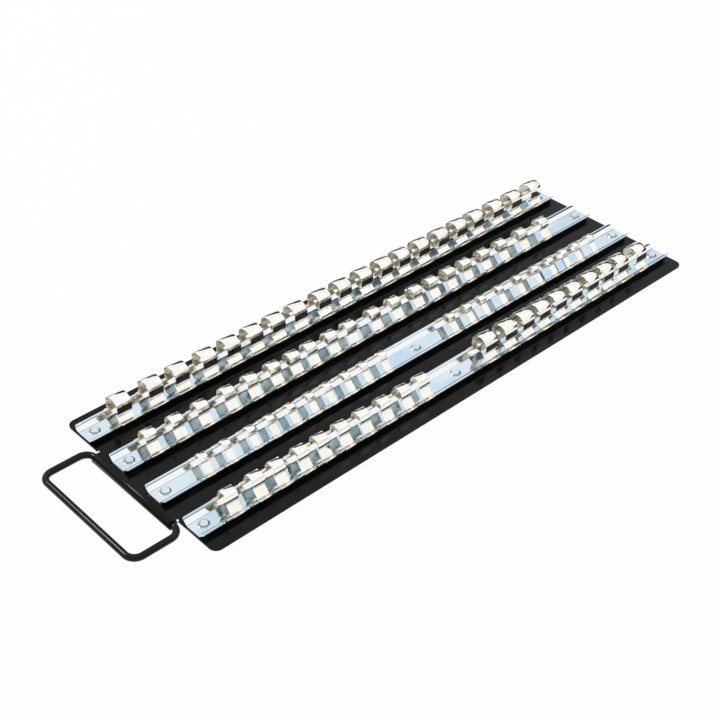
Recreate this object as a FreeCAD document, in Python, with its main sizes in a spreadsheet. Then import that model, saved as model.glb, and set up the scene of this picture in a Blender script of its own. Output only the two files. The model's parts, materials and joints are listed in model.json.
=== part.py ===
import FreeCAD, Part
import math
import os
import Sketcher

# Socket tray: one flat sheet carries four bright channel rails, and spring clips slide along them.
# A wire bail handle turns in the barrel rolled into the tray's left edge.
# Frame: origin at the centre of the tray's flat underside, +X along the length away from the handle,
# +Y from the front rail to the back rail, +Z up. All lengths are millimetres.

SIZES = {
    # tray sheet
    "tray_length": 477.0,
    "tray_width": 168.0,
    "sheet_thick": 1.2,
    "corner_round": 6.0,
    # barrel rolled under the left edge, and the slots that free its ends
    "wire_diameter": 5.0,
    "hinge_slack": 0.05,
    "hinge_clear": 0.2,
    "barrel_end_gap": 1.0,
    "curl_gap": 1.6,
    "relief_width": 2.5,
    "relief_depth": 1.5,
    # bail handle, along the centre line of its wire
    "handle_width": 105.0,
    "handle_reach": 37.6,
    "handle_bend": 8.0,
    # channel rails
    "back_margin": 10.175,
    "front_margin": 12.575,
    "rail_setback": 0.7,
    "rail_base": 12.0,
    "rail_rise": 3.4,
    "rail_lean": 3.3,
    "rail_flange": 1.9,
    "rail_sheet": 1.0,
    "rail_bend": 0.6,
    "rail_left_round": 2.0,
    "rail_right_round": 4.0,
    # rivets through rail and sheet
    "rivet_inset": 9.8,
    "rivet_head": 8.0,
    "rivet_rim": 0.5,
    "rivet_crown": 1.3,
    "rivet_dimple": 4.6,
    "rivet_dimple_depth": 0.5,
    "rivet_shank": 4.2,
    "rivet_tail": 6.0,
    "rivet_tail_depth": 0.7,
    "rivet_slack": 0.05,
    # clip strip and the hooks that wrap round the flanges
    "strip_thick": 0.4,
    "clip_slack": 0.1,
    "clip_bend": 0.5,
    "hook_reach": 1.1,
    "hook_bend": 0.6,
    "foot_land": 2.5,
    # wide clips, for 1/2 inch drive; heights are above the tray
    "wide_width": 12.2,
    "wide_neck_half": 3.9,
    "wide_neck": 8.3,
    "wide_side_half": 7.2,
    "wide_side_low": 11.2,
    "wide_side_high": 16.6,
    "wide_crease_half": 6.7,
    "wide_crease": 18.1,
    "wide_top": 21.6,
    # medium clips, for 3/8 inch drive
    "medium_width": 9.5,
    "medium_neck_half": 4.1,
    "medium_neck": 10.2,
    "medium_side_half": 5.25,
    "medium_side_low": 12.4,
    "medium_side_high": 13.9,
    "medium_crease_half": 4.4,
    "medium_crease": 16.5,
    "medium_top": 18.3,
    # narrow clips, for 1/4 inch drive
    "narrow_width": 6.1,
    "narrow_neck_half": 3.2,
    "narrow_neck": 10.5,
    "narrow_side_half": 3.9,
    "narrow_side_low": 11.3,
    "narrow_side_high": 12.2,
    "narrow_crease_half": 3.3,
    "narrow_crease": 14.2,
    "narrow_top": 15.5,
    # bare rail between a rivet's head and the end of a run of clips
    "back_left": 11.3,
    "back_right": 1.9,
    "second_left": 7.8,
    "second_right": 36.7,
    "third_left": 23.1,
    "third_left_end": 29.2,
    "third_right_start": 27.2,
    "third_right": 25.6,
    "front_left": 11.3,
    "front_left_end": 28.1,
    "front_right_start": 19.6,
    "front_right": 14.4,
}

# The clips are slid along by hand, so the gaps between them are uneven. Each run's gaps are set in
# millimetres and are stretched together to fill the run.
RUN_GAPS = {
    "back": [
        14.6, 10.6, 12.4, 9.7, 8.9, 9.1, 9.0, 12.2, 8.8, 10.2,
        9.3, 7.3, 9.6, 9.8, 9.5, 7.5, 11.5, 10.3, 11.9,
    ],
    "second": [
        12.5, 11.9, 13.7, 11.0, 11.1, 8.9, 6.6, 10.5, 9.1, 15.0,
        11.8, 13.2, 8.0, 9.8, 8.5, 11.6, 11.1, 14.6, 16.0,
    ],
    "third_a": [13.3, 14.8, 11.0, 12.1, 11.4, 9.8, 11.9, 10.6, 12.5],
    "third_b": [12.1, 9.8, 13.5, 14.9, 14.1, 11.6, 10.7, 8.3, 11.9],
    "front_a": [12.3, 8.0, 11.0, 8.2, 9.0, 9.8, 9.9, 9.9, 8.2],
    "front_b": [9.0, 7.2, 6.0, 6.4, 6.1, 7.6, 6.1, 5.8, 10.5],
}

# run: (rail, clip kind, clips per node, from the left or middle rivet, to the middle or right rivet,
# name of its nodes)
RUNS = {
    "back": (1, "wide", 1, "left", "right", "half_inch_clip"),
    "second": (2, "medium", 2, "left", "right", "three_eighths_clips"),
    "third_a": (3, "narrow", 2, "left", "middle", "quarter_inch_clips_left"),
    "third_b": (3, "narrow", 2, "middle", "right", "quarter_inch_clips_right"),
    "front_a": (4, "medium", 2, "left", "middle", "three_eighths_clips_left"),
    "front_b": (4, "wide", 2, "middle", "right", "half_inch_clips_right"),
}
# the bare stretches at the two ends of each run
BARE = {
    "back": ("back_left", "back_right"),
    "second": ("second_left", "second_right"),
    "third_a": ("third_left", "third_left_end"),
    "third_b": ("third_right_start", "third_right"),
    "front_a": ("front_left", "front_left_end"),
    "front_b": ("front_right_start", "front_right"),
}
CLIP_KINDS = ("wide", "medium", "narrow")

RAIL_NAMES = {1: "rail_back", 2: "rail_second", 3: "rail_third", 4: "rail_front"}
MIDDLE_OF_RAILS = 2.5
MIDDLE_RIVET_RAILS = (3, 4)

X_AXIS = FreeCAD.Vector(1, 0, 0)
Y_AXIS = FreeCAD.Vector(0, 1, 0)
Z_AXIS = FreeCAD.Vector(0, 0, 1)

doc = FreeCAD.newDocument("socket_tray")
sheet = doc.addObject("Spreadsheet::Sheet", "sizes")
nodes = []
# two points nearer than this are the same point
NEAR = 1e-4


def write_sheet():
    """Fill the spreadsheet with the driving dimensions, one named row each."""
    values = dict(SIZES)
    for run, gaps in RUN_GAPS.items():
        for place, gap in enumerate(gaps, start=1):
            values[f"gap_{run}_{place}"] = gap
    for row, (name, value) in enumerate(values.items(), start=1):
        sheet.set(f"A{row}", name)
        sheet.set(f"B{row}", str(value))
        sheet.setAlias(f"B{row}", name)
    doc.recompute()


def bind(thing, **formulas):
    """Bind properties to formulas of the sheet's names. A double underscore stands for a dot."""
    for prop, formula in formulas.items():
        thing.setExpression(prop.replace("__", "."), formula)
    return thing


def at(thing, x=None, y=None, z=None):
    """Bind the place of an object."""
    for axis, formula in (("x", x), ("y", y), ("z", z)):
        if formula is not None:
            thing.setExpression(f"Placement.Base.{axis}", formula)
    return thing


def turned(thing, axis, angle):
    """Turn an object about an axis through its own origin."""
    thing.Placement = FreeCAD.Placement(FreeCAD.Vector(), FreeCAD.Rotation(axis, angle))
    return thing


def add(kind, name, **formulas):
    """Add a primitive with its sizes bound."""
    return bind(doc.addObject(kind, name), **formulas)


def cut(name, base, tool):
    """Take the tool away from the base."""
    result = doc.addObject("Part::Cut", name)
    result.Base = base
    result.Tool = tool
    return result


def fuse(name, pieces):
    """Join pieces that touch into one solid, keeping the faces as they are."""
    result = doc.addObject("Part::MultiFuse", name)
    result.Shapes = pieces
    result.Refine = False
    return result


def group(name, pieces):
    """Keep several solids together without joining them."""
    result = doc.addObject("Part::Compound", name)
    result.Links = pieces
    return result


def node(thing, label):
    """Name a finished sub-part."""
    thing.Label = label
    nodes.append(thing)
    return thing


class Outline:
    """A chain of lines and arcs in a sketch, whose corners are pinned to named sizes.

    A corner is an (across, up) pair of formulas on the right of the vertical axis. mirror() repeats the
    chain on the left, so the whole outline stays symmetric.
    """

    def __init__(self, sketch, corner):
        """Start the chain at a corner."""
        self.sketch = sketch
        self.first = corner
        self.here = self.point(corner)
        self.chain = []

    def value(self, formula):
        """What a formula comes to now."""
        return float(self.sketch.evalExpression(formula))

    def point(self, corner):
        """A corner as a vector in the sketch."""
        return FreeCAD.Vector(self.value(corner[0]), self.value(corner[1]), 0)

    def constrain(self, formula, *parts):
        """Add a constraint that a formula sets."""
        index = self.sketch.addConstraint(Sketcher.Constraint(*parts, self.value(formula)))
        self.sketch.setExpression(f"Constraints[{index}]", formula)

    def relate(self, *parts):
        """Add a constraint with no size."""
        self.sketch.addConstraint(Sketcher.Constraint(*parts))

    def pin(self, piece, end, corner):
        """Hold one end of a piece at a corner."""
        for kind, formula, axis in (("DistanceX", corner[0], -2), ("DistanceY", corner[1], -1)):
            if formula == "0":
                self.relate("PointOnObject", piece, end, axis)
            else:
                self.constrain(formula, kind, -1, 1, piece, end)

    def stretch(self, last, radius=None, centre_left=True):
        """Draw a line, or an arc with its centre to the left or right of the way to its end."""
        first = self.here
        if radius is None:
            piece = self.sketch.addGeometry(Part.LineSegment(first, last), False)
            ends = (1, 2)
        else:
            chord = last - first
            side = FreeCAD.Vector(-chord.y, chord.x, 0) / chord.Length * (1 if centre_left else -1)
            depth = math.sqrt(max(radius**2 - (chord.Length / 2) ** 2, 0.0))
            centre = (first + last) / 2 + side * depth
            ends = (1, 2) if centre_left else (2, 1)
            angles = [math.atan2(end.y - centre.y, end.x - centre.x) for end in (first, last)]
            if not centre_left:
                angles.reverse()
            circle = Part.Circle(centre, Z_AXIS, radius)
            piece = self.sketch.addGeometry(Part.ArcOfCircle(circle, *angles), False)
        if self.chain:
            before, _, joint = self.chain[-1]
            self.relate("Coincident", before, joint, piece, ends[0])
        self.chain.append((piece, *ends))
        self.here = last
        return piece, ends

    def line(self, across, up):
        """A straight stretch to a corner."""
        return self.arc(across, up, None)

    def arc(self, across, up, radius, centre_left=True):
        """An arc of less than half a turn to a corner."""
        begins = not self.chain
        size = None if radius is None else self.value(radius)
        piece, ends = self.stretch(self.point((across, up)), size, centre_left)
        if begins:
            self.pin(piece, ends[0], self.first)
        self.pin(piece, ends[1], (across, up))
        if radius is not None:
            self.constrain(radius, "Radius", piece)
        return self

    def mirror(self, crown_radius=None, closed=False):
        """Cross the axis with a line or an arc, and repeat the chain on the other side."""
        right = list(self.chain)
        size = None if crown_radius is None else self.value(crown_radius)
        piece, ends = self.stretch(self.flipped(self.here), size)
        self.relate("Symmetric", right[-1][0], right[-1][2], piece, ends[1], -2)
        if crown_radius is not None:
            self.constrain(crown_radius, "Radius", piece)
        for twin, near, far in reversed(right):
            edge = self.sketch.Geometry[twin]
            start = edge.StartPoint if near == 1 else edge.EndPoint
            radius = getattr(edge, "Radius", None)
            piece, ends = self.stretch(self.flipped(start), radius, near == 1)
            self.relate("Symmetric", twin, near, piece, ends[1], -2)
            if radius is not None:
                self.relate("Equal", twin, piece)
        if closed:
            piece, ends = self.stretch(self.point(self.first))
            self.relate("Coincident", piece, ends[1], right[0][0], right[0][1])
        return self

    @staticmethod
    def flipped(point):
        """The same point on the other side of the axis."""
        return FreeCAD.Vector(-point.x, point.y, 0)


def origin_plane(body, role):
    """One of a body's own origin planes."""
    return next(feature for feature in body.Origin.OriginFeatures if feature.Role == role)


def body_sketch(body, name, role):
    """A sketch on one of a body's own origin planes."""
    sketch = body.newObject("Sketcher::SketchObject", name)
    sketch.AttachmentSupport = [(origin_plane(body, role), "")]
    sketch.MapMode = "FlatFace"
    doc.recompute()
    return sketch


write_sheet()

# ---- derived places, used by several sub-parts ----
layout = doc.addObject("App::FeaturePython", "layout")


def derive(name, formula):
    """Keep a derived size under a name of its own."""
    layout.addProperty("App::PropertyFloat", name)
    layout.setExpression(name, formula)
    return f"layout.{name}"


HINGE_OVERHANG = derive("hinge_overhang", "sizes.wire_diameter / 2 + sizes.hinge_clear")
BARREL_LENGTH = derive(
    "barrel_length", "sizes.handle_width - 2 * sizes.handle_bend - 2 * sizes.barrel_end_gap"
)
BARREL_BORE = derive("barrel_bore", "sizes.wire_diameter / 2 + sizes.hinge_slack")
BARREL_OUTSIDE = derive("barrel_outside", "sizes.wire_diameter / 2 + sizes.hinge_slack + sizes.sheet_thick")
HINGE_X = derive("hinge_x", f"-sizes.tray_length / 2 - {HINGE_OVERHANG}")
HINGE_Z = derive("hinge_z", "-sizes.wire_diameter / 2 - sizes.hinge_slack")
RAIL_LENGTH = derive("rail_length", "sizes.tray_length - 2 * sizes.rail_setback")
# where the outside of a bend lies beyond its inside, for one sheet thickness
BEND_SHIFT = derive("bend_shift", "sizes.rail_sheet * tan(atan2(sizes.rail_rise; sizes.rail_lean) / 2)")
FLANGE_IN = derive("flange_in", "sizes.rail_base / 2 + sizes.rail_lean")
FLANGE_EDGE = derive("flange_edge", "sizes.rail_base / 2 + sizes.rail_lean + sizes.rail_flange")
FLANGE_TOP = derive("flange_top", "sizes.rail_sheet + sizes.rail_rise")
RAIL_PITCH = derive(
    "rail_pitch", f"(sizes.tray_width - sizes.back_margin - sizes.front_margin - 2 * {FLANGE_EDGE}) / 3"
)
RAIL_SHIFT = derive("rail_shift", "(sizes.front_margin - sizes.back_margin) / 2")
RIVET_X = derive("rivet_x", "sizes.tray_length / 2 - sizes.rivet_inset")
RIVET_SPOTS = {"left": f"-{RIVET_X}", "middle": "0", "right": RIVET_X}
HOOK_EDGE = derive("hook_edge", f"{FLANGE_EDGE} + sizes.clip_slack + sizes.strip_thick")
HOOK_LOW = derive("hook_low", "sizes.rail_rise - sizes.clip_slack - sizes.strip_thick")
FOOT_TOP = derive("foot_top", f"{FLANGE_TOP} + sizes.clip_slack + sizes.strip_thick")
doc.recompute()


def rail_y(number):
    """Formula of a rail's centre line. Rail 1 is at the back."""
    return f"{RAIL_SHIFT} + {MIDDLE_OF_RAILS - number} * {RAIL_PITCH}"


def rivet_places():
    """Every rivet as (rail, formula of its x)."""
    places = []
    for number in RAIL_NAMES:
        wanted = ("left", "right", "middle") if number in MIDDLE_RIVET_RAILS else ("left", "right")
        places += [(number, RIVET_SPOTS[spot]) for spot in wanted]
    return places


# ---- rivets: a dished low head, a shank, and a tail set flush into the sheet's underside ----

def make_rivet():
    """One rivet, turned about its axis, with its tail's end at the tray's underside."""
    body = doc.addObject("PartDesign::Body", "rivet")
    sketch = body_sketch(body, "rivet_section", "XZ_Plane")
    seat = "sizes.sheet_thick + sizes.rail_sheet"
    crown = f"{seat} + sizes.rivet_crown"
    floor = f"{crown} - sizes.rivet_dimple_depth"
    corners = [
        ("0", "0"),
        ("sizes.rivet_tail / 2", "0"),
        ("sizes.rivet_shank / 2", "sizes.rivet_tail_depth"),
        ("sizes.rivet_shank / 2", seat),
        ("sizes.rivet_head / 2", seat),
        ("sizes.rivet_head / 2", f"{seat} + sizes.rivet_rim"),
        ("sizes.rivet_dimple / 2 + sizes.rivet_rim", crown),
        ("sizes.rivet_dimple / 2", crown),
        ("sizes.rivet_dimple / 2 - sizes.rivet_dimple_depth / 2", floor),
        ("0", floor),
    ]
    outline = Outline(sketch, corners[0])
    for corner in corners[1:]:
        outline.line(*corner)
    piece, ends = outline.stretch(outline.point(corners[0]))
    outline.relate("Coincident", piece, ends[1], outline.chain[0][0], outline.chain[0][1])
    turn = body.newObject("PartDesign::Revolution", "rivet_turn")
    turn.Profile = sketch
    turn.ReferenceAxis = (sketch, ["V_Axis"])
    doc.recompute()
    return body


def rail_stock():
    """The rail's channel, bent from one strip: a flat base, leaning sides and outward flanges."""
    body = doc.addObject("PartDesign::Body", "rail_stock")
    sketch = body_sketch(body, "rail_section", "YZ_Plane")
    outline = Outline(sketch, (f"sizes.rail_base / 2 + {BEND_SHIFT}", "0"))
    outline.line(f"{FLANGE_IN} + {BEND_SHIFT}", "sizes.rail_rise")
    outline.line(FLANGE_EDGE, "sizes.rail_rise")
    outline.line(FLANGE_EDGE, FLANGE_TOP)
    outline.line(FLANGE_IN, FLANGE_TOP)
    outline.line("sizes.rail_base / 2", "sizes.rail_sheet")
    outline.mirror(closed=True)
    pad = body.newObject("PartDesign::Pad", "rail_pad")
    pad.Profile = sketch
    pad.Midplane = True
    bind(pad, Length=RAIL_LENGTH)
    doc.recompute()
    inner = [("sizes.rail_base / 2", "sizes.rail_sheet"), (f"{FLANGE_IN} + {BEND_SHIFT}", "sizes.rail_rise")]
    outer = [(f"sizes.rail_base / 2 + {BEND_SHIFT}", "0"), (FLANGE_IN, FLANGE_TOP)]
    below = pad
    for side, corners, radius in (
        ("inner", inner, "sizes.rail_bend"),
        ("outer", outer, "sizes.rail_bend + sizes.rail_sheet"),
    ):
        edges = long_edges_at(below.Shape, [outline.point(corner) for corner in corners])
        fillet = body.newObject("PartDesign::Fillet", f"rail_{side}_bends")
        fillet.Base = (below, [f"Edge{number}" for number in edges])
        bind(fillet, Radius=radius)
        doc.recompute()
        below = fillet
    return body


def edge_runs(shape):
    """Each edge's number, its first point, and the way from there to its last point."""
    for number, edge in enumerate(shape.Edges, start=1):
        first = edge.Vertexes[0].Point
        yield number, first, edge.Vertexes[-1].Point - first


def long_edges_at(shape, points):
    """Numbers of the edges along X whose (y, z) is one of the points, on either side of the middle."""
    numbers = []
    for number, first, way in edge_runs(shape):
        along = abs(way.x) > NEAR and math.hypot(way.y, way.z) < NEAR
        if along and any(math.hypot(abs(first.y) - spot.x, first.z - spot.y) < NEAR for spot in points):
            numbers.append(number)
    return numbers


def upright_edges(shape, side):
    """Numbers of the upright edges of one end: side is -1 for the left and +1 for the right."""
    return [
        number
        for number, first, way in edge_runs(shape)
        if abs(way.z) > NEAR and math.hypot(way.x, way.y) < NEAR and first.x * side >= 0
    ]


def round_edges(name, base, radius, numbers):
    """Round the numbered edges of an object."""
    rounded = doc.addObject("Part::Fillet", name)
    rounded.Base = base
    size = float(base.evalExpression(radius))
    rounded.Edges = [(number, size, size) for number in numbers]
    doc.recompute()
    return rounded


def rounded_blank(name, length, width, height, left_round, right_round):
    """A centred block whose upright corners are rounded, the left pair and the right pair apart."""
    block = add("Part::Box", f"{name}_block", Length=length, Width=width, Height=height)
    at(block, x=f"-({length}) / 2", y=f"-({width}) / 2")
    doc.recompute()
    left = round_edges(f"{name}_round_left", block, left_round, upright_edges(block.Shape, -1))
    return round_edges(f"{name}_round_right", left, right_round, upright_edges(left.Shape, 1))


def make_rails(rivet_bore):
    """Four rails from one stock, drilled for their rivets, with the flange corners rounded."""
    stock = rail_stock()
    blank = rounded_blank(
        "rail", RAIL_LENGTH, f"2 * {FLANGE_EDGE}", FLANGE_TOP,
        "sizes.rail_left_round", "sizes.rail_right_round",
    )
    trimmed = doc.addObject("Part::Common", "rail_trimmed")
    trimmed.Base = stock
    trimmed.Tool = blank
    for number, label in RAIL_NAMES.items():
        spots = [spot for rail, spot in rivet_places() if rail == number]
        bores = [
            at(group(f"rail_{number}_bore_{place}", [rivet_bore]), x=spot)
            for place, spot in enumerate(spots, start=1)
        ]
        drilled = cut(f"rail_{number}_drilled", trimmed, group(f"rail_{number}_bores", bores))
        rail = group(f"rail_{number}", [drilled])
        node(at(rail, y=rail_y(number), z="sizes.sheet_thick"), label)


# ---- tray: a flat sheet, its left edge rolled under into a barrel for the handle's wire ----

def barrel_cylinder(name, radius, length):
    """A cylinder along the hinge line."""
    roll = turned(add("Part::Cylinder", name, Radius=radius, Height=length), X_AXIS, -90)
    return at(roll, x=HINGE_X, y=f"-({length}) / 2", z=HINGE_Z)


def make_tray(rivet_hole):
    """The sheet with its slots and rivet holes, joined to the curl by a short tongue."""
    sheet_blank = rounded_blank(
        "tray", "sizes.tray_length", "sizes.tray_width", "sizes.sheet_thick",
        "sizes.corner_round", "sizes.corner_round",
    )
    span = BARREL_LENGTH
    reach = f"sizes.relief_depth + {HINGE_OVERHANG}"
    slot_width = f"{span} + 2 * sizes.relief_width"
    slot = add("Part::Box", "relief_slot", Length=reach, Width=slot_width, Height="sizes.sheet_thick")
    at(slot, x=HINGE_X, y=f"-({slot_width}) / 2")
    tongue = add("Part::Box", "tongue", Length=reach, Width=span, Height="sizes.sheet_thick")
    at(tongue, x=HINGE_X, y=f"-({span}) / 2")
    outside = barrel_cylinder("barrel_outer", BARREL_OUTSIDE, span)
    bore = barrel_cylinder("barrel_bore_cut", BARREL_BORE, span)
    mouth = add("Part::Box", "curl_mouth", Length=BARREL_OUTSIDE, Width=span, Height="sizes.curl_gap")
    at(mouth, x=HINGE_X, y=f"-({span}) / 2", z="-sizes.curl_gap")
    curl = cut("curl", cut("barrel_tube", outside, bore), mouth)
    holes = [
        at(group(f"tray_hole_{place}", [rivet_hole]), x=spot, y=rail_y(number))
        for place, (number, spot) in enumerate(rivet_places(), start=1)
    ]
    flat = cut("tray_flat", cut("tray_slotted", sheet_blank, slot), group("tray_holes", holes))
    node(fuse("tray", [flat, tongue, curl]), "tray_panel")


# ---- handle: one wire bent into a rounded rectangle, closed through the barrel ----

def wire_run(name, length, axis):
    """A straight stretch of the handle's wire, turned to lie along Y, or along -X."""
    return turned(add("Part::Cylinder", name, Radius="sizes.wire_diameter / 2", Height=length), axis, -90)


def make_handle():
    """Four straight stretches and four quarter bends of the wire."""
    long_run = "(sizes.handle_width - 2 * sizes.handle_bend)"
    short_run = "(sizes.handle_reach - 2 * sizes.handle_bend)"
    pieces = []
    for name, reach in (("hinge", "0"), ("grip", "sizes.handle_reach")):
        bar = wire_run(f"handle_{name}_bar", long_run, X_AXIS)
        pieces.append(at(bar, x=f"{HINGE_X} - {reach}", y=f"-{long_run} / 2", z=HINGE_Z))
    for name, side in (("front", "-"), ("back", "")):
        arm = wire_run(f"handle_{name}_arm", short_run, Y_AXIS)
        arm_y = f"{side}sizes.handle_width / 2"
        pieces.append(at(arm, x=f"{HINGE_X} - sizes.handle_bend", y=arm_y, z=HINGE_Z))
    far_bend = "(sizes.handle_reach - sizes.handle_bend)"
    for name, turn, reach, side in (
        ("hinge_back", 0, "sizes.handle_bend", ""),
        ("grip_back", 90, far_bend, ""),
        ("grip_front", 180, far_bend, "-"),
        ("hinge_front", 270, "sizes.handle_bend", "-"),
    ):
        radii = {"Radius1": "sizes.handle_bend", "Radius2": "sizes.wire_diameter / 2"}
        bend = add("Part::Torus", f"handle_{name}_bend", **radii)
        bend.Angle3 = 90
        turned(bend, Z_AXIS, turn)
        bend_y = f"{side}(sizes.handle_width / 2 - sizes.handle_bend)"
        pieces.append(at(bend, x=f"{HINGE_X} - {reach}", y=bend_y, z=HINGE_Z))
    node(fuse("handle_wire", pieces), "bail_handle")


# ---- rivet tools: the bore through a rail, and the countersunk hole in the sheet ----

RIVET_HOLE_RADIUS = "sizes.rivet_shank / 2 + sizes.rivet_slack"


def make_rivet_bore():
    """What a rivet takes out of a rail."""
    return add("Part::Cylinder", "rivet_bore", Radius=RIVET_HOLE_RADIUS, Height="sizes.rail_sheet")


def make_rivet_hole():
    """What a rivet takes out of the sheet, with the countersink for its tail."""
    bore = add("Part::Cylinder", "sheet_bore", Radius=RIVET_HOLE_RADIUS, Height="sizes.sheet_thick")
    tail = "sizes.rivet_tail / 2 + sizes.rivet_slack"
    sink_sizes = {"Radius1": tail, "Radius2": RIVET_HOLE_RADIUS, "Height": "sizes.rivet_tail_depth"}
    return fuse("sheet_hole", [bore, add("Part::Cone", "sheet_countersink", **sink_sizes)])


def make_rivets():
    """All the rivets are alike, and share one node as separate solids."""
    stock = make_rivet()
    copies = [
        at(group(f"rivet_{place}", [stock]), x=spot, y=rail_y(number))
        for place, (number, spot) in enumerate(rivet_places(), start=1)
    ]
    node(group("rivet_set", copies), "rail_rivets")


# ---- clips ----

def clip_stock(kind):
    """One clip, bent from a strip: hook, foot, leg, neck, bulge and crown.

    Its outer skin is drawn and pulled along X, its bends are rounded, and it is made thick inwards.
    """
    sketch = doc.addObject("Sketcher::SketchObject", f"{kind}_line")
    sketch.Placement = FreeCAD.Placement(FreeCAD.Vector(), FreeCAD.Rotation(Y_AXIS, Z_AXIS, X_AXIS))
    neck = (f"sizes.{kind}_neck_half", f"sizes.{kind}_neck")
    side_low = (f"sizes.{kind}_side_half", f"sizes.{kind}_side_low")
    side_high = (f"sizes.{kind}_side_half", f"sizes.{kind}_side_high")
    crease = (f"sizes.{kind}_crease_half", f"sizes.{kind}_crease")
    foot_end = (f"{FLANGE_EDGE} - sizes.foot_land", FOOT_TOP)
    outline = Outline(sketch, (f"{FLANGE_EDGE} - sizes.hook_reach", HOOK_LOW))
    outline.line(f"{HOOK_EDGE} - sizes.hook_bend", HOOK_LOW)
    outline.arc(HOOK_EDGE, f"{HOOK_LOW} + sizes.hook_bend", "sizes.hook_bend")
    outline.line(HOOK_EDGE, f"{FOOT_TOP} - sizes.hook_bend")
    outline.arc(f"{HOOK_EDGE} - sizes.hook_bend", FOOT_TOP, "sizes.hook_bend")
    outline.line(*foot_end)
    outline.line(*neck)
    outward = f"({side_low[0]} - {neck[0]})"
    rise = f"({side_low[1]} - {neck[1]})"
    outline.arc(*side_low, f"({outward}^2 + {rise}^2) / (2 * {outward})")
    outline.line(*side_high)
    outline.line(*crease)
    crown = f"(sizes.{kind}_top - {crease[1]})"
    outline.mirror(f"({crease[0]}^2 + {crown}^2) / (2 * {crown})")
    skin = doc.addObject("Part::Extrusion", f"{kind}_skin")
    skin.Base = sketch
    skin.DirMode = "Custom"
    skin.Dir = X_AXIS
    bind(skin, LengthFwd=f"sizes.{kind}_width")
    doc.recompute()
    hollow = long_edges_at(skin.Shape, [outline.point(foot_end), outline.point(neck)])
    bent = round_edges(f"{kind}_hollow_bends", skin, "sizes.clip_bend", hollow)
    full = long_edges_at(bent.Shape, [outline.point(side_high), outline.point(crease)])
    bent = round_edges(f"{kind}_full_bends", bent, "sizes.clip_bend + sizes.strip_thick", full)
    strip = doc.addObject("Part::Offset", f"{kind}_strip")
    strip.Source = bent
    strip.Mode = "Skin"
    strip.Join = "Arc"
    strip.Fill = True
    bind(strip, Value="sizes.strip_thick")
    doc.recompute()
    return strip


def make_runs():
    """Slide the clips into place along each run, and keep them in nodes of one or two."""
    stocks = {kind: clip_stock(kind) for kind in CLIP_KINDS}
    for run, (rail, kind, share, first_rivet, last_rivet, label) in RUNS.items():
        first_bare, last_bare = BARE[run]
        low = f"{RIVET_SPOTS[first_rivet]} + sizes.rivet_head / 2 + sizes.{first_bare}"
        high = f"{RIVET_SPOTS[last_rivet]} - sizes.rivet_head / 2 - sizes.{last_bare}"
        gaps = [f"sizes.gap_{run}_{place}" for place in range(1, len(RUN_GAPS[run]) + 1)]
        count = len(gaps) + 1
        width = f"sizes.{kind}_width"
        free = f"({high} - ({low}) - {count} * {width})"
        stretch = derive(f"{run}_stretch", f"{free} / ({' + '.join(gaps)})")
        copies = []
        spot = derive(f"{run}_1_x", low)
        for place in range(count):
            if place:
                spot = derive(f"{run}_{place + 1}_x", f"{spot} + {width} + {gaps[place - 1]} * {stretch}")
            clip = group(f"clip_{run}_{place + 1}", [stocks[kind]])
            copies.append(at(clip, x=spot, y=rail_y(rail), z="sizes.sheet_thick"))
        for first in range(0, count, share):
            numbers = "_".join(f"{place + 1:02d}" for place in range(first, first + share))
            node(group(f"{run}_{numbers}", copies[first:first + share]), f"{label}_{numbers}")


def export():
    """Check every object and write each node's solids."""
    doc.recompute()
    for thing in doc.Objects:
        if {"Invalid", "Error"} & set(thing.State):
            raise RuntimeError(f"{thing.Name} failed: {thing.State}")
    os.makedirs("parts", exist_ok=True)
    for thing in nodes:
        if thing.Shape.isNull() or not thing.Shape.isValid() or not thing.Shape.Solids:
            raise RuntimeError(f"{thing.Label} has no valid solid")
        thing.Shape.exportStep(f"parts/{thing.Label}.step")
        box = thing.Shape.BoundBox
        spans = ((box.XMin, box.XMax), (box.YMin, box.YMax), (box.ZMin, box.ZMax))
        reach = ", ".join(f"{low:.2f} to {high:.2f}" for low, high in spans)
        print(f"{thing.Label}: {len(thing.Shape.Solids)} solids, {reach}")


make_tray(make_rivet_hole())
make_handle()
make_rails(make_rivet_bore())
make_rivets()
make_runs()
export()
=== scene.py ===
import json
import logging
import math
from dataclasses import dataclass
from enum import Enum
from typing import Any, ClassVar

import bpy
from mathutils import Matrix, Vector


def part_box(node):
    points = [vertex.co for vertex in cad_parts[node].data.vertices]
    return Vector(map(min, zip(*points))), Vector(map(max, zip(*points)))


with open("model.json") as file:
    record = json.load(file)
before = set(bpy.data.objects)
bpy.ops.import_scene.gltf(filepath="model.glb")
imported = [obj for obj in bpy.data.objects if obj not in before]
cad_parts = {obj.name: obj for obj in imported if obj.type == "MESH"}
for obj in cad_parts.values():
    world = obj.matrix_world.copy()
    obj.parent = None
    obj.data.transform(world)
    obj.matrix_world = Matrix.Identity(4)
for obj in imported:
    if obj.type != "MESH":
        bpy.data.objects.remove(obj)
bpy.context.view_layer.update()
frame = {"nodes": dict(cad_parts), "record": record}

log = logging.getLogger("socket_tray")
MM = 0.001

Colour = tuple[float, float, float, float]
# one number for each axis: a place, a turn or a stretch
Triple = tuple[float, float, float]
WHITE: Colour = (1.0, 1.0, 1.0, 1.0)
EVEN: Triple = (1.0, 1.0, 1.0)
FULL = 1.0
# places of the colour sockets among a Mix node's inputs and outputs
MIX_FIRST, MIX_SECOND, MIX_COLOUR = 6, 7, 2
# places of a Mix Shader node's inputs
BLEND_SHARE, BLEND_FIRST, BLEND_SECOND = 0, 1, 2


# ---------------------------------------------------------------- shader expressions


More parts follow.
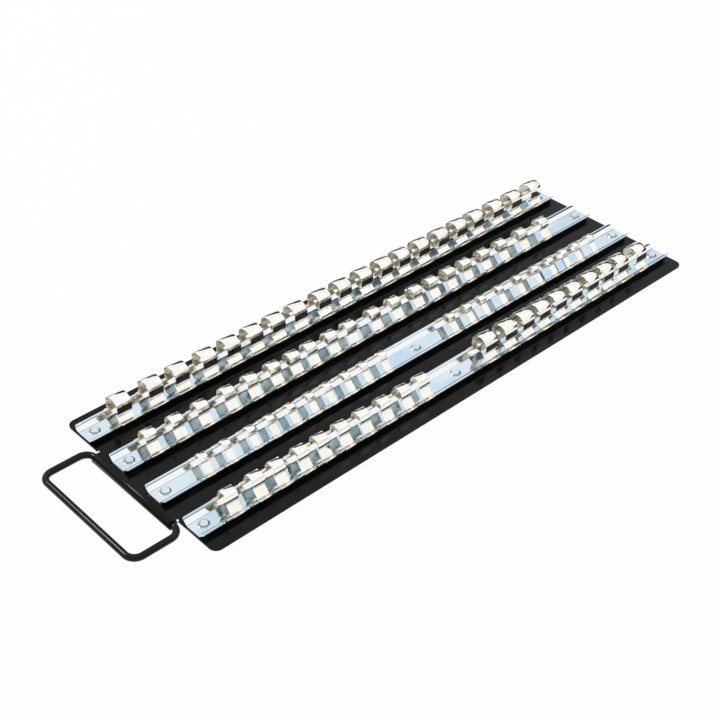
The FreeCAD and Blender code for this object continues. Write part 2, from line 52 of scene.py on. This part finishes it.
class Value:
    """One value in a shader. Arithmetic on it adds the nodes that work it out."""

    def __init__(self, bench: "Bench", socket: bpy.types.NodeSocket | None) -> None:
        """Wrap a socket.

        Args:
            bench: the node tree being built.
            socket: the output that holds the value, or None behind an output node.
        """
        self.bench = bench
        self.socket = socket

    def _math(self, operation: str, first: Any, second: Any) -> "Value":
        """Add a Math node.

        Args:
            operation: the node's operation.
            first: a value or a number.
            second: a value or a number.

        Returns:
            The result.
        """
        return self.bench.node("ShaderNodeMath", {"operation": operation}, {0: first, 1: second})

    def __add__(self, other: Any) -> "Value":
        """The sum."""
        return self._math("ADD", self, other)

    def __radd__(self, other: Any) -> "Value":
        """The sum, from the right."""
        return self._math("ADD", other, self)

    def __sub__(self, other: Any) -> "Value":
        """The difference."""
        return self._math("SUBTRACT", self, other)

    def __rsub__(self, other: Any) -> "Value":
        """The difference, from the right."""
        return self._math("SUBTRACT", other, self)

    def __mul__(self, other: Any) -> "Value":
        """The product."""
        return self._math("MULTIPLY", self, other)

    def __rmul__(self, other: Any) -> "Value":
        """The product, from the right."""
        return self._math("MULTIPLY", other, self)

    def or_more(self, other: Any) -> "Value":
        """The larger of this and another value."""
        return self._math("MAXIMUM", self, other)

    def between(self, low: float, high: float) -> "Value":
        """A smooth step.

        Args:
            low: where the step begins.
            high: where the step ends.

        Returns:
            0 below the step, 1 above it.
        """
        return self.bench.node(
            "ShaderNodeMapRange",
            {"interpolation_type": "SMOOTHSTEP"},
            {"Value": self, "From Min": low, "From Max": high},
        )


@dataclass(frozen=True)
class Grain:
    """Noise of one size. Its patches are 0 below the low mark and 1 above the high one."""

    scale: float
    octaves: float
    stretch: Triple = EVEN
    low: float = 0.0
    high: float = 1.0


class Bench:
    """Builds the nodes of one material or of the world."""

    def __init__(self, owner: bpy.types.Material | bpy.types.World) -> None:
        """Clear the owner's nodes.

        Args:
            owner: the material or world that the nodes belong to.
        """
        owner.use_nodes = True
        self.owner = owner
        self.tree = owner.node_tree
        self.tree.nodes.clear()

    @classmethod
    def material(cls, name: str) -> "Bench":
        """A bench for a new material.

        Args:
            name: the material's name.

        Returns:
            The bench.
        """
        return cls(bpy.data.materials.new(name))

    def node(
        self,
        kind: str,
        settings: dict[str, Any] | None = None,
        inputs: dict[int | str, Any] | None = None,
        output: int | str = 0,
    ) -> Value:
        """Add a node.

        Args:
            kind: the node's type.
            settings: its own settings, set first.
            inputs: numbers, colours or values for its sockets, by name or place.
            output: the output that is wanted.

        Returns:
            The wanted output. Behind an output node it is empty.
        """
        made = self.tree.nodes.new(kind)
        for name, setting in (settings or {}).items():
            setattr(made, name, setting)
        for name, given in (inputs or {}).items():
            if isinstance(given, Value):
                self.tree.links.new(given.socket, made.inputs[name])
            else:
                made.inputs[name].default_value = given
        return Value(self, made.outputs[output] if made.outputs else None)

    def stretched(self, stretch: Triple) -> Value:
        """The point on the piece in the frame's metres, stretched by axis.

        Args:
            stretch: how much each axis is multiplied.

        Returns:
            The stretched point.
        """
        point = self.node("ShaderNodeTexCoord", output="Object")
        return self.node("ShaderNodeMapping", inputs={"Vector": point, "Scale": stretch})

    def noise(self, grain: Grain) -> Value:
        """Smooth noise over the piece.

        Args:
            grain: its waves in a metre, its octaves and how each axis is stretched first.

        Returns:
            A value about 0.5.
        """
        inputs = {"Vector": self.stretched(grain.stretch), "Scale": grain.scale, "Detail": grain.octaves}
        return self.node("ShaderNodeTexNoise", inputs=inputs)

    def patches(self, grain: Grain) -> Value:
        """Patches of noise over the piece.

        Args:
            grain: the noise, with the marks between which a patch fades in.

        Returns:
            1 in a patch, 0 outside it.
        """
        return self.noise(grain).between(grain.low, grain.high)

    def facing_up(self) -> Value:
        """How far the surface faces up, before any bump: 1 for flat, 0 for upright."""
        normal = self.node("ShaderNodeNewGeometry", output="Normal")
        return self.node("ShaderNodeSeparateXYZ", inputs={"Vector": normal}, output="Z")

    def mix(self, share: Any, first: Colour | Value, second: Colour | Value) -> Value:
        """A mix of two colours.

        Args:
            share: how much of the second, from 0 to 1.
            first: a colour.
            second: a colour.

        Returns:
            The mixed colour.
        """
        inputs = {"Factor": share, MIX_FIRST: first, MIX_SECOND: second}
        return self.node("ShaderNodeMix", {"data_type": "RGBA"}, inputs, MIX_COLOUR)

    def blend(self, share: Any, first: Value, second: Value) -> Value:
        """A blend of two shaders.

        Args:
            share: how much of the second, from 0 to 1.
            first: a shader.
            second: a shader.

        Returns:
            The blended shader.
        """
        inputs = {BLEND_SHARE: share, BLEND_FIRST: first, BLEND_SECOND: second}
        return self.node("ShaderNodeMixShader", inputs=inputs)

    def bump(self, height: Value, distance: float) -> Value:
        """A bumpy normal.

        Args:
            height: the height, from 0 to 1.
            distance: how far 1 stands out, in metres.

        Returns:
            The normal.
        """
        return self.node("ShaderNodeBump", inputs={"Height": height, "Distance": distance})

    def principled(self, **inputs: Any) -> Value:
        """The surface shader. An underscore in a name stands for a space."""
        named = {name.replace("_", " "): given for name, given in inputs.items()}
        return self.node("ShaderNodeBsdfPrincipled", inputs=named)

    def seen(self) -> Value:
        """1 where the eye looks, straight or by way of a mirror or a window."""
        ways = ("Is Camera Ray", "Is Glossy Ray", "Is Transmission Ray")
        straight, mirrored, through = (self.node("ShaderNodeLightPath", output=way) for way in ways)
        return straight.or_more(mirrored).or_more(through)

    def finish(self, surface: Value) -> None:
        """Wire the surface to the output.

        Args:
            surface: the shader that shows.
        """
        is_world = isinstance(self.owner, bpy.types.World)
        kind = "ShaderNodeOutputWorld" if is_world else "ShaderNodeOutputMaterial"
        self.node(kind, inputs={"Surface": surface})


# ---------------------------------------------------------------- finishes


@dataclass(frozen=True)
class GlossPaint:
    """Black gloss paint over steel, with an orange peel, a little dust and fine rubbing."""

    name: str
    colour: Colour = (0.0035, 0.0035, 0.0040, 1.0)
    dusty: Colour = (0.012, 0.012, 0.012, 1.0)
    rubbed: Colour = (0.045, 0.045, 0.047, 1.0)
    roughness: float = 0.14
    specular_level: float = 0.12
    dust: Grain = Grain(40.0, 6.0, low=0.42, high=0.72)
    dust_cover: float = 0.5
    specks: Grain = Grain(2600.0, 1.0, low=0.66, high=0.74)
    speck_cover: float = 0.35
    cover_dulls: float = 0.08
    rubs: Grain = Grain(2200.0, 2.0, (0.05, 1.0, 1.0), low=0.70, high=0.78)
    rub_dulls: float = 0.20
    peel: Grain = Grain(900.0, 1.0)
    peel_height: float = 0.006 * MM

    def material(self) -> bpy.types.Material:
        """Build the paint.

        Returns:
            The material.
        """
        bench = Bench.material(self.name)
        dust = bench.patches(self.dust)
        cover = dust * self.dust_cover + bench.patches(self.specks) * self.speck_cover
        rubs = bench.patches(self.rubs) * dust
        surface = bench.principled(
            Base_Color=bench.mix(rubs, bench.mix(cover, self.colour, self.dusty), self.rubbed),
            Roughness=cover * self.cover_dulls + rubs * self.rub_dulls + self.roughness,
            Normal=bench.bump(bench.noise(self.peel), self.peel_height),
            Specular_IOR_Level=self.specular_level,
        )
        bench.finish(surface)
        return bench.owner


@dataclass(frozen=True)
class ZincPlate:
    """Bright bluish zinc, clouded, with a painted highlight on its steep faces and painted shade in its
    bends.
    """

    name: str
    colour: Colour = (0.56, 0.71, 0.83, 1.0)
    pale: Colour = (0.74, 0.83, 0.90, 1.0)
    tarnish: Colour = (0.72, 0.74, 0.66, 1.0)
    # painted highlight: a paler colour for the faces that don't face up, standing in for light on the
    # slopes
    side_sheen: Colour = (0.90, 0.93, 0.95, 1.0)
    # painted shade: a dark grey put into the bends and rims, where faces tilt part way
    bend_shade: Colour = (0.24, 0.26, 0.27, 1.0)
    side_facing: tuple[float, float] = (0.70, 0.76)
    bend_facing: tuple[float, float] = (0.93, 0.985)
    metallic: float = 0.96
    roughness: float = 0.05
    clouds: Grain = Grain(60.0, 4.0, (0.35, 1.0, 1.0), low=0.35, high=0.68)
    cloud_dulls: float = 0.08
    stains: Grain = Grain(24.0, 5.0, low=0.60, high=0.72)
    stain_cover: float = 0.35
    stain_dulls: float = 0.05
    marks: Grain = Grain(3000.0, 2.0, (0.03, 1.0, 1.0), low=0.60, high=0.72)
    mark_dulls: float = 0.14
    bend_shade_cover: float = 0.9
    streaks: Grain = Grain(1400.0, 3.0, (0.02, 1.0, 1.0))
    streak_height: float = 0.003 * MM

    def material(self) -> bpy.types.Material:
        """Build the plating.

        Returns:
            The material.
        """
        bench = Bench.material(self.name)
        clouds = bench.patches(self.clouds)
        stains = bench.patches(self.stains)
        marks = bench.patches(self.marks)
        facing = bench.facing_up()
        off_side = facing.between(*self.side_facing)
        # painted shade: the band of part-way tilted faces between the flat faces and the slopes
        in_bend = off_side - facing.between(*self.bend_facing)
        plated = bench.mix(clouds, self.colour, self.pale)
        # painted highlight: steep and upright faces take the paler colour
        side_sheen = bench.mix(off_side, self.side_sheen, plated)
        aged = bench.mix(stains * self.stain_cover, side_sheen, self.tarnish)
        dulling = clouds * self.cloud_dulls + marks * self.mark_dulls + stains * self.stain_dulls
        # painted shade: the bends and rims are darkened towards the dark grey
        surface = bench.principled(
            Base_Color=bench.mix(in_bend * self.bend_shade_cover, aged, self.bend_shade),
            Metallic=self.metallic,
            Roughness=dulling + self.roughness,
            Normal=bench.bump(bench.noise(self.streaks), self.streak_height),
        )
        bench.finish(surface)
        return bench.owner


@dataclass(frozen=True)
class NickelPlate:
    """Bright nickel on spring strip, with drawing lines round the bends, cloudiness and scuffs."""

    name: str
    colour: Colour = (0.93, 0.925, 0.89, 1.0)
    warm: Colour = (0.90, 0.85, 0.74, 1.0)
    roughness: float = 0.09
    clouds: Grain = Grain(140.0, 4.0, low=0.40, high=0.72)
    cloud_warms: float = 0.6
    cloud_dulls: float = 0.05
    scuffs: Grain = Grain(1800.0, 3.0, (1.0, 0.3, 0.3), low=0.64, high=0.74)
    scuff_dulls: float = 0.16
    lines: Grain = Grain(2200.0, 2.0, (1.0, 0.04, 0.04))
    line_height: float = 0.0015 * MM

    def material(self) -> bpy.types.Material:
        """Build the plating.

        Returns:
            The material.
        """
        bench = Bench.material(self.name)
        clouds = bench.patches(self.clouds)
        scuffs = bench.patches(self.scuffs)
        surface = bench.principled(
            Base_Color=bench.mix(clouds * self.cloud_warms, self.colour, self.warm),
            Metallic=FULL,
            Roughness=clouds * self.cloud_dulls + scuffs * self.scuff_dulls + self.roughness,
            Normal=bench.bump(bench.noise(self.lines), self.line_height),
        )
        bench.finish(surface)
        return bench.owner


class Finish(Enum):
    """The finishes of the tray's pieces."""

    TRAY = GlossPaint("tray_gloss_black")
    HANDLE = GlossPaint(
        "handle_gloss_black",
        roughness=0.10,
        specular_level=0.2,
        rubs=Grain(2200.0, 2.0, low=0.70, high=0.78),
        peel=Grain(1400.0, 1.0),
    )
    RAIL = ZincPlate("rail_bright_zinc")
    RIVET = ZincPlate("rivet_bright_zinc", metallic=0.85, roughness=0.14)
    CLIP = NickelPlate("clip_bright_nickel")
    # painted shade: a darker, browner, duller copy of the nickel for the faces inside the clips
    CLIP_INSIDE = NickelPlate(
        "clip_inside_painted_shade",
        colour=(0.80, 0.73, 0.60, 1.0),
        warm=(0.50, 0.43, 0.32, 1.0),
        roughness=0.16,
    )

    def material(self) -> bpy.types.Material:
        """The finish's material, built once."""
        return bpy.data.materials.get(self.value.name) or self.value.material()


# ---------------------------------------------------------------- the tray's sub-assemblies


@dataclass
class SubAssembly:
    """Pieces of one kind, which keep their shape but for a slight rounding of their sharp edges."""

    slots: ClassVar[tuple[str, ...]] = ()
    finish: ClassVar[Finish]
    edge_break: float = 0.15 * MM
    edge_segments: int = 2
    seam_width: float = 0.001 * MM
    sharp_angle: float = math.radians(40.0)

    def nodes(self) -> list[str]:
        """Names of the pieces in the frame, from their material slots."""
        return [row["node"] for row in frame["record"]["subparts"] if row["material_slot"] in self.slots]

    def break_edges(self, piece: bpy.types.Object) -> None:
        """Join a piece's faces along their seams, then round its sharp edges off.

        The width is a ceiling: the overlap clamp narrows it on a piece with short edges, and leaves
        the rails with next to nothing.

        Args:
            piece: the piece.
        """
        weld = piece.modifiers.new("joined_seams", "WELD")
        weld.merge_threshold = self.seam_width
        bevel = piece.modifiers.new("broken_edges", "BEVEL")
        bevel.width = self.edge_break
        bevel.segments = self.edge_segments
        bevel.limit_method = "ANGLE"
        bevel.angle_limit = self.sharp_angle
        bevel.harden_normals = True

    def dress(self, node: str) -> None:
        """Give one piece its finish and round its edges.

        Args:
            node: the piece's name in the frame.
        """
        piece = frame["nodes"][node]
        piece.data.materials.clear()
        piece.data.materials.append(self.finish.material())
        if self.edge_break:
            self.break_edges(piece)
        log.info("%s: %s, edges rounded by at most %.2f mm", node, self.finish.name, self.edge_break / MM)

    def build(self) -> None:
        """Dress every piece."""
        for node in self.nodes():
            self.dress(node)


@dataclass
class TrayPanel(SubAssembly):
    """The black sheet with the barrel rolled into its edge."""

    slots: ClassVar[tuple[str, ...]] = ("tray",)
    finish: ClassVar[Finish] = Finish.TRAY
    edge_break: float = 0.20 * MM


@dataclass
class BailHandle(SubAssembly):
    """The black wire handle, which has no sharp edge."""

    slots: ClassVar[tuple[str, ...]] = ("handle",)
    finish: ClassVar[Finish] = Finish.HANDLE
    edge_break: float = 0.0


@dataclass
class ClipRails(SubAssembly):
    """The four zinc channels."""

    slots: ClassVar[tuple[str, ...]] = ("rail",)
    finish: ClassVar[Finish] = Finish.RAIL


@dataclass
class RailRivets(SubAssembly):
    """The ten dimpled rivets."""

    slots: ClassVar[tuple[str, ...]] = ("rivet",)
    finish: ClassVar[Finish] = Finish.RIVET


@dataclass
class SpringClips(SubAssembly):
    """The sprung clips: bright outside, with painted shade on the inner faces of the bent strip."""

    slots: ClassVar[tuple[str, ...]] = ("clip_wide", "clip_medium", "clip_narrow")
    finish: ClassVar[Finish] = Finish.CLIP
    inside_shade: ClassVar[Finish] = Finish.CLIP_INSIDE
    edge_break: float = 0.07 * MM
    middle_height: float = 9.0 * MM
    edge_facing: float = 0.5

    def dress(self, node: str) -> None:
        """Give a clip its finish, its rounded edges and the painted shade on its inner faces.

        Args:
            node: the clip's name in the frame.
        """
        super().dress(node)
        self.paint_inside_shade(node)

    def paint_inside_shade(self, node: str) -> None:
        """Paint shade on the faces that look into the clip: they take a darker, browner, duller copy of the
        nickel.

        Args:
            node: the clip's name in the frame.
        """
        low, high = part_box(node)
        middle = Vector((0.0, (low.y + high.y) / 2, self.middle_height))
        mesh = frame["nodes"][node].data
        mesh.materials.append(self.inside_shade.material())
        for face in mesh.polygons:
            outward = face.center - middle
            outward.x = 0.0
            on_edge = abs(face.normal.x) > self.edge_facing
            face.material_index = int(face.normal.dot(outward) < 0.0 and not on_edge)


# ---------------------------------------------------------------- studio


@dataclass
class Camera:
    """The eye on the tray."""

    place: Triple = (-0.5745, -0.5824, 0.6108)
    azimuth: float = math.radians(42.614)
    depression: float = math.radians(37.648)
    lens: float = 67.87
    reach: tuple[float, float] = (0.01, 50.0)

    def build(self) -> None:
        """Place the camera and look through it."""
        data = bpy.data.cameras.new("camera")
        data.lens = self.lens
        data.clip_start, data.clip_end = self.reach
        camera = bpy.data.objects.new("camera", data)
        level = math.cos(self.depression)
        ahead = (math.sin(self.azimuth) * level, math.cos(self.azimuth) * level, -math.sin(self.depression))
        camera.rotation_mode = "QUATERNION"
        camera.rotation_quaternion = Vector(ahead).to_track_quat("-Z", "Y")
        camera.location = self.place
        bpy.context.scene.collection.objects.link(camera)
        bpy.context.scene.camera = camera


@dataclass
class Lamp:
    """A soft square lamp that points at the tray."""

    name: str
    place: Triple
    side: float
    watts: float
    mirrored: bool

    def build(self) -> None:
        """Hang the lamp."""
        data = bpy.data.lights.new(self.name, "AREA")
        data.shape = "SQUARE"
        data.size = self.side
        data.energy = self.watts
        lamp = bpy.data.objects.new(self.name, data)
        lamp.location = self.place
        lamp.rotation_mode = "QUATERNION"
        lamp.rotation_quaternion = (-Vector(self.place)).to_track_quat("-Z", "Y")
        lamp.visible_glossy = self.mirrored
        bpy.context.scene.collection.objects.link(lamp)


@dataclass
class Sky:
    """White surroundings: full white to the eye and in mirrors, less as a light."""

    strength: float = 0.52

    def build(self) -> None:
        """Build the world."""
        world = bpy.data.worlds.new("studio")
        bpy.context.scene.world = world
        bench = Bench(world)
        lighting = bench.node("ShaderNodeBackground", inputs={"Color": WHITE, "Strength": self.strength})
        shown = bench.node("ShaderNodeBackground", inputs={"Color": WHITE, "Strength": FULL})
        bench.finish(bench.blend(bench.seen(), lighting, shown))


@dataclass
class Sheet:
    """A flat four-cornered sheet of the studio."""

    name: str

    def spread(self, corners: list[Triple], place: Triple, turn: Triple) -> bpy.types.Object:
        """Make the sheet.

        Args:
            corners: its corners, in order.
            place: where its origin goes.
            turn: its rotation about X, Y and Z.

        Returns:
            The sheet, with no material.
        """
        mesh = bpy.data.meshes.new(self.name)
        mesh.from_pydata(corners, [], [tuple(range(len(corners)))])
        sheet = bpy.data.objects.new(self.name, mesh)
        sheet.location = place
        sheet.rotation_euler = turn
        bpy.context.scene.collection.objects.link(sheet)
        return sheet


@dataclass
class Floor(Sheet):
    """The pale floor, on which the tray leans on its barrel and its far edge."""

    name: str = "floor"
    half: float = 4.0
    tilt: float = math.radians(0.75)
    far_edge: float = 0.2385
    paper: Colour = (0.85, 0.85, 0.85, 1.0)
    glow: float = 0.97

    def build(self) -> None:
        """Lay the floor: mostly plain white to the eye, and paper to the light."""
        half = self.half
        corners = [(-half, -half, 0.0), (half, -half, 0.0), (half, half, 0.0), (-half, half, 0.0)]
        floor = self.spread(corners, (self.far_edge, 0.0, 0.0), (0.0, -self.tilt, 0.0))
        bench = Bench.material("floor_white")
        paper = bench.node("ShaderNodeBsdfDiffuse", inputs={"Color": self.paper})
        plain = bench.node("ShaderNodeEmission", inputs={"Color": WHITE, "Strength": FULL})
        bench.finish(bench.blend(bench.seen() * self.glow, paper, plain))
        floor.data.materials.append(bench.owner)


@dataclass
class Wall(Sheet):
    """A dark wall or screen of the room, which only mirrors show."""

    azimuth: float = 0.0
    top: float = 0.72
    half: float = 3.0
    distance: float = 3.0
    foot: float = 0.08
    colour: Colour = (0.03, 0.028, 0.024, 1.0)

    def build(self) -> None:
        """Stand the wall."""
        turn = math.radians(self.azimuth)
        half, foot, top = self.half, self.foot, self.top
        corners = [(-half, 0.0, foot), (half, 0.0, foot), (half, 0.0, top), (-half, 0.0, top)]
        place = (math.sin(turn) * self.distance, math.cos(turn) * self.distance, 0.0)
        wall = self.spread(corners, place, (0.0, 0.0, -turn))
        wall.visible_camera = False
        wall.visible_diffuse = False
        wall.visible_shadow = False
        bench = Bench.material(f"{self.name}_dark")
        bench.finish(bench.node("ShaderNodeEmission", inputs={"Color": self.colour}))
        wall.data.materials.append(bench.owner)


@dataclass
class Studio:
    """The camera, the lamps, the floor and the surroundings."""

    lamps: tuple[Lamp, ...] = (
        Lamp("key", (-0.69, 1.34, 1.74), side=0.5, watts=20.0, mirrored=True),
        Lamp("side", (1.18, -0.33, 1.83), side=0.6, watts=3.0, mirrored=True),
        Lamp("fill", (1.2, -1.3, 1.5), side=1.6, watts=5.0, mirrored=False),
    )
    walls: tuple[Wall, ...] = (
        Wall("wall_back", azimuth=0.0),
        Wall("wall_right", azimuth=90.0, top=1.3),
        Wall("wall_front", azimuth=180.0),
        Wall("wall_left", azimuth=270.0),
        Wall("screen_back", azimuth=33.0, top=1.75, half=0.8, distance=2.9),
    )

    def build(self) -> None:
        """Set up the whole studio."""
        bpy.context.scene.view_settings.view_transform = "Standard"
        for part in (Camera(), Sky(), Floor(), *self.walls, *self.lamps):
            part.build()


def main() -> None:
    """Build the studio and every sub-assembly."""
    logging.basicConfig(level=logging.INFO, format="%(name)s: %(message)s")
    Studio().build()
    for assembly in (TrayPanel(), BailHandle(), ClipRails(), RailRivets(), SpringClips()):
        assembly.build()


if __name__ == "__main__":
    main()
